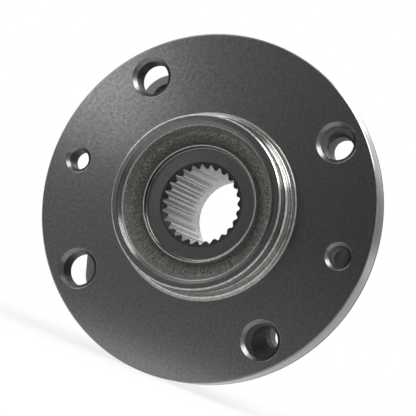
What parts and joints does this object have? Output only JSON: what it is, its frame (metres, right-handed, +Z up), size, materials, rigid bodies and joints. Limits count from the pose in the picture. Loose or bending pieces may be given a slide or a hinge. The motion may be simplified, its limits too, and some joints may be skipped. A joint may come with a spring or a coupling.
{
  "type": "wheel hub bearing",
  "caption": "Flanged wheel hub with a splined bore, carried by two rows of caged balls in an outer ring whose lugged flange bolts to a steering knuckle.",
  "frame": {"origin": "on the bearing axis, in the plane of the hub face that the brake disc and wheel bolt to", "axes": "-Y points out of that face towards the wheel, +Y towards the vehicle, +Z up; the two disc screw holes lie on X"},
  "size_m": [0.1174, 0.06, 0.1174],
  "materials": {
    "hub_steel": "turned forged steel with an oiled satin surface, rough inside the spigot nose",
    "ring_steel": "turned and ground forged steel",
    "bearing_steel": "ground hardened steel",
    "ball_steel": "polished hardened steel",
    "cage_nylon": "glass-filled nylon",
    "seal_steel": "pressed sheet steel",
    "slinger_steel": "pressed stainless sheet",
    "seal_rubber": "matt nitrile rubber"
  },
  "bodies": {
    "outer_ring": {"outer_ring": "ring_steel", "outboard_seal_case": "seal_steel", "outboard_seal_lip": "seal_rubber", "inboard_seal_case": "seal_steel", "inboard_seal_lip": "seal_rubber"},
    "hub": {"hub_flange": "hub_steel", "inner_ring": "bearing_steel", "inboard_slinger": "slinger_steel"},
    "outboard_cage": {"outboard_cage": "cage_nylon"},
    "outboard_ball_01": {"outboard_ball_01": "ball_steel"},
    "outboard_ball_02": {"outboard_ball_02": "ball_steel"},
    "outboard_ball_03": {"outboard_ball_03": "ball_steel"},
    "outboard_ball_04": {"outboard_ball_04": "ball_steel"},
    "outboard_ball_05": {"outboard_ball_05": "ball_steel"},
    "outboard_ball_06": {"outboard_ball_06": "ball_steel"},
    "outboard_ball_07": {"outboard_ball_07": "ball_steel"},
    "outboard_ball_08": {"outboard_ball_08": "ball_steel"},
    "outboard_ball_09": {"outboard_ball_09": "ball_steel"},
    "outboard_ball_10": {"outboard_ball_10": "ball_steel"},
    "outboard_ball_11": {"outboard_ball_11": "ball_steel"},
    "outboard_ball_12": {"outboard_ball_12": "ball_steel"},
    "outboard_ball_13": {"outboard_ball_13": "ball_steel"},
    "outboard_ball_14": {"outboard_ball_14": "ball_steel"},
    "outboard_ball_15": {"outboard_ball_15": "ball_steel"},
    "inboard_cage": {"inboard_cage": "cage_nylon"},
    "inboard_ball_01": {"inboard_ball_01": "ball_steel"},
    "inboard_ball_02": {"inboard_ball_02": "ball_steel"},
    "inboard_ball_03": {"inboard_ball_03": "ball_steel"},
    "inboard_ball_04": {"inboard_ball_04": "ball_steel"},
    "inboard_ball_05": {"inboard_ball_05": "ball_steel"},
    "inboard_ball_06": {"inboard_ball_06": "ball_steel"},
    "inboard_ball_07": {"inboard_ball_07": "ball_steel"},
    "inboard_ball_08": {"inboard_ball_08": "ball_steel"},
    "inboard_ball_09": {"inboard_ball_09": "ball_steel"},
    "inboard_ball_10": {"inboard_ball_10": "ball_steel"},
    "inboard_ball_11": {"inboard_ball_11": "ball_steel"},
    "inboard_ball_12": {"inboard_ball_12": "ball_steel"},
    "inboard_ball_13": {"inboard_ball_13": "ball_steel"},
    "inboard_ball_14": {"inboard_ball_14": "ball_steel"},
    "inboard_ball_15": {"inboard_ball_15": "ball_steel"}
  },
  "joints": [
    {"name": "hub_spin", "type": "hinge", "parent": "outer_ring", "child": "hub", "pos_m": [0, 0, 0], "axis": [0, 1, 0], "continuous": true},
    {"name": "outboard_cage_orbit", "type": "hinge", "parent": "outer_ring", "child": "outboard_cage", "pos_m": [0, 0.0216, 0], "axis": [0, 1, 0], "continuous": true},
    {"name": "outboard_ball_01_spin", "type": "hinge", "parent": "outboard_cage", "child": "outboard_ball_01", "pos_m": [0.0295, 0.0216, 0], "axis": [-0.5736, 0.8192, 0], "continuous": true},
    {"name": "outboard_ball_02_spin", "type": "hinge", "parent": "outboard_cage", "child": "outboard_ball_02", "pos_m": [0.02695, 0.0216, 0.012], "axis": [-0.524, 0.8192, -0.2333], "continuous": true},
    {"name": "outboard_ball_03_spin", "type": "hinge", "parent": "outboard_cage", "child": "outboard_ball_03", "pos_m": [0.01974, 0.0216, 0.02192], "axis": [-0.3838, 0.8192, -0.4263], "continuous": true},
    {"name": "outboard_ball_04_spin", "type": "hinge", "parent": "outboard_cage", "child": "outboard_ball_04", "pos_m": [0.00912, 0.0216, 0.02806], "axis": [-0.1772, 0.8192, -0.5455], "continuous": true},
    {"name": "outboard_ball_05_spin", "type": "hinge", "parent": "outboard_cage", "child": "outboard_ball_05", "pos_m": [-0.00308, 0.0216, 0.02934], "axis": [0.06, 0.8192, -0.5704], "continuous": true},
    {"name": "outboard_ball_06_spin", "type": "hinge", "parent": "outboard_cage", "child": "outboard_ball_06", "pos_m": [-0.01475, 0.0216, 0.02555], "axis": [0.2868, 0.8192, -0.4967], "continuous": true},
    {"name": "outboard_ball_07_spin", "type": "hinge", "parent": "outboard_cage", "child": "outboard_ball_07", "pos_m": [-0.02387, 0.0216, 0.01734], "axis": [0.464, 0.8192, -0.3371], "continuous": true},
    {"name": "outboard_ball_08_spin", "type": "hinge", "parent": "outboard_cage", "child": "outboard_ball_08", "pos_m": [-0.02885, 0.0216, 0.00613], "axis": [0.561, 0.8192, -0.1193], "continuous": true},
    {"name": "outboard_ball_09_spin", "type": "hinge", "parent": "outboard_cage", "child": "outboard_ball_09", "pos_m": [-0.02885, 0.0216, -0.00613], "axis": [0.561, 0.8192, 0.1193], "continuous": true},
    {"name": "outboard_ball_10_spin", "type": "hinge", "parent": "outboard_cage", "child": "outboard_ball_10", "pos_m": [-0.02387, 0.0216, -0.01734], "axis": [0.464, 0.8192, 0.3371], "continuous": true},
    {"name": "outboard_ball_11_spin", "type": "hinge", "parent": "outboard_cage", "child": "outboard_ball_11", "pos_m": [-0.01475, 0.0216, -0.02555], "axis": [0.2868, 0.8192, 0.4967], "continuous": true},
    {"name": "outboard_ball_12_spin", "type": "hinge", "parent": "outboard_cage", "child": "outboard_ball_12", "pos_m": [-0.00308, 0.0216, -0.02934], "axis": [0.06, 0.8192, 0.5704], "continuous": true},
    {"name": "outboard_ball_13_spin", "type": "hinge", "parent": "outboard_cage", "child": "outboard_ball_13", "pos_m": [0.00912, 0.0216, -0.02806], "axis": [-0.1772, 0.8192, 0.5455], "continuous": true},
    {"name": "outboard_ball_14_spin", "type": "hinge", "parent": "outboard_cage", "child": "outboard_ball_14", "pos_m": [0.01974, 0.0216, -0.02192], "axis": [-0.3838, 0.8192, 0.4263], "continuous": true},
    {"name": "outboard_ball_15_spin", "type": "hinge", "parent": "outboard_cage", "child": "outboard_ball_15", "pos_m": [0.02695, 0.0216, -0.012], "axis": [-0.524, 0.8192, 0.2333], "continuous": true},
    {"name": "inboard_cage_orbit", "type": "hinge", "parent": "outer_ring", "child": "inboard_cage", "pos_m": [0, 0.0356, 0], "axis": [0, 1, 0], "continuous": true},
    {"name": "inboard_ball_01_spin", "type": "hinge", "parent": "inboard_cage", "child": "inboard_ball_01", "pos_m": [0.0295, 0.0356, 0], "axis": [0.5736, 0.8192, 0], "continuous": true},
    {"name": "inboard_ball_02_spin", "type": "hinge", "parent": "inboard_cage", "child": "inboard_ball_02", "pos_m": [0.02695, 0.0356, 0.012], "axis": [0.524, 0.8192, 0.2333], "continuous": true},
    {"name": "inboard_ball_03_spin", "type": "hinge", "parent": "inboard_cage", "child": "inboard_ball_03", "pos_m": [0.01974, 0.0356, 0.02192], "axis": [0.3838, 0.8192, 0.4263], "continuous": true},
    {"name": "inboard_ball_04_spin", "type": "hinge", "parent": "inboard_cage", "child": "inboard_ball_04", "pos_m": [0.00912, 0.0356, 0.02806], "axis": [0.1772, 0.8192, 0.5455], "continuous": true},
    {"name": "inboard_ball_05_spin", "type": "hinge", "parent": "inboard_cage", "child": "inboard_ball_05", "pos_m": [-0.00308, 0.0356, 0.02934], "axis": [-0.06, 0.8192, 0.5704], "continuous": true},
    {"name": "inboard_ball_06_spin", "type": "hinge", "parent": "inboard_cage", "child": "inboard_ball_06", "pos_m": [-0.01475, 0.0356, 0.02555], "axis": [-0.2868, 0.8192, 0.4967], "continuous": true},
    {"name": "inboard_ball_07_spin", "type": "hinge", "parent": "inboard_cage", "child": "inboard_ball_07", "pos_m": [-0.02387, 0.0356, 0.01734], "axis": [-0.464, 0.8192, 0.3371], "continuous": true},
    {"name": "inboard_ball_08_spin", "type": "hinge", "parent": "inboard_cage", "child": "inboard_ball_08", "pos_m": [-0.02885, 0.0356, 0.00613], "axis": [-0.561, 0.8192, 0.1193], "continuous": true},
    {"name": "inboard_ball_09_spin", "type": "hinge", "parent": "inboard_cage", "child": "inboard_ball_09", "pos_m": [-0.02885, 0.0356, -0.00613], "axis": [-0.561, 0.8192, -0.1193], "continuous": true},
    {"name": "inboard_ball_10_spin", "type": "hinge", "parent": "inboard_cage", "child": "inboard_ball_10", "pos_m": [-0.02387, 0.0356, -0.01734], "axis": [-0.464, 0.8192, -0.3371], "continuous": true},
    {"name": "inboard_ball_11_spin", "type": "hinge", "parent": "inboard_cage", "child": "inboard_ball_11", "pos_m": [-0.01475, 0.0356, -0.02555], "axis": [-0.2868, 0.8192, -0.4967], "continuous": true},
    {"name": "inboard_ball_12_spin", "type": "hinge", "parent": "inboard_cage", "child": "inboard_ball_12", "pos_m": [-0.00308, 0.0356, -0.02934], "axis": [-0.06, 0.8192, -0.5704], "continuous": true},
    {"name": "inboard_ball_13_spin", "type": "hinge", "parent": "inboard_cage", "child": "inboard_ball_13", "pos_m": [0.00912, 0.0356, -0.02806], "axis": [0.1772, 0.8192, -0.5455], "continuous": true},
    {"name": "inboard_ball_14_spin", "type": "hinge", "parent": "inboard_cage", "child": "inboard_ball_14", "pos_m": [0.01974, 0.0356, -0.02192], "axis": [0.3838, 0.8192, -0.4263], "continuous": true},
    {"name": "inboard_ball_15_spin", "type": "hinge", "parent": "inboard_cage", "child": "inboard_ball_15", "pos_m": [0.02695, 0.0356, -0.012], "axis": [0.524, 0.8192, -0.2333], "continuous": true}
  ],
  "couplings": [
    {"joint": "outboard_cage_orbit", "follows": "hub_spin", "ratio": 0.42837},
    {"joint": "outboard_ball_01_spin", "follows": "hub_spin", "ratio": -2.8001},
    {"joint": "outboard_ball_02_spin", "follows": "hub_spin", "ratio": -2.8001},
    {"joint": "outboard_ball_03_spin", "follows": "hub_spin", "ratio": -2.8001},
    {"joint": "outboard_ball_04_spin", "follows": "hub_spin", "ratio": -2.8001},
    {"joint": "outboard_ball_05_spin", "follows": "hub_spin", "ratio": -2.8001},
    {"joint": "outboard_ball_06_spin", "follows": "hub_spin", "ratio": -2.8001},
    {"joint": "outboard_ball_07_spin", "follows": "hub_spin", "ratio": -2.8001},
    {"joint": "outboard_ball_08_spin", "follows": "hub_spin", "ratio": -2.8001},
    {"joint": "outboard_ball_09_spin", "follows": "hub_spin", "ratio": -2.8001},
    {"joint": "outboard_ball_10_spin", "follows": "hub_spin", "ratio": -2.8001},
    {"joint": "outboard_ball_11_spin", "follows": "hub_spin", "ratio": -2.8001},
    {"joint": "outboard_ball_12_spin", "follows": "hub_spin", "ratio": -2.8001},
    {"joint": "outboard_ball_13_spin", "follows": "hub_spin", "ratio": -2.8001},
    {"joint": "outboard_ball_14_spin", "follows": "hub_spin", "ratio": -2.8001},
    {"joint": "outboard_ball_15_spin", "follows": "hub_spin", "ratio": -2.8001},
    {"joint": "inboard_cage_orbit", "follows": "hub_spin", "ratio": 0.42837},
    {"joint": "inboard_ball_01_spin", "follows": "hub_spin", "ratio": -2.8001},
    {"joint": "inboard_ball_02_spin", "follows": "hub_spin", "ratio": -2.8001},
    {"joint": "inboard_ball_03_spin", "follows": "hub_spin", "ratio": -2.8001},
    {"joint": "inboard_ball_04_spin", "follows": "hub_spin", "ratio": -2.8001},
    {"joint": "inboard_ball_05_spin", "follows": "hub_spin", "ratio": -2.8001},
    {"joint": "inboard_ball_06_spin", "follows": "hub_spin", "ratio": -2.8001},
    {"joint": "inboard_ball_07_spin", "follows": "hub_spin", "ratio": -2.8001},
    {"joint": "inboard_ball_08_spin", "follows": "hub_spin", "ratio": -2.8001},
    {"joint": "inboard_ball_09_spin", "follows": "hub_spin", "ratio": -2.8001},
    {"joint": "inboard_ball_10_spin", "follows": "hub_spin", "ratio": -2.8001},
    {"joint": "inboard_ball_11_spin", "follows": "hub_spin", "ratio": -2.8001},
    {"joint": "inboard_ball_12_spin", "follows": "hub_spin", "ratio": -2.8001},
    {"joint": "inboard_ball_13_spin", "follows": "hub_spin", "ratio": -2.8001},
    {"joint": "inboard_ball_14_spin", "follows": "hub_spin", "ratio": -2.8001},
    {"joint": "inboard_ball_15_spin", "follows": "hub_spin", "ratio": -2.8001}
  ]
}
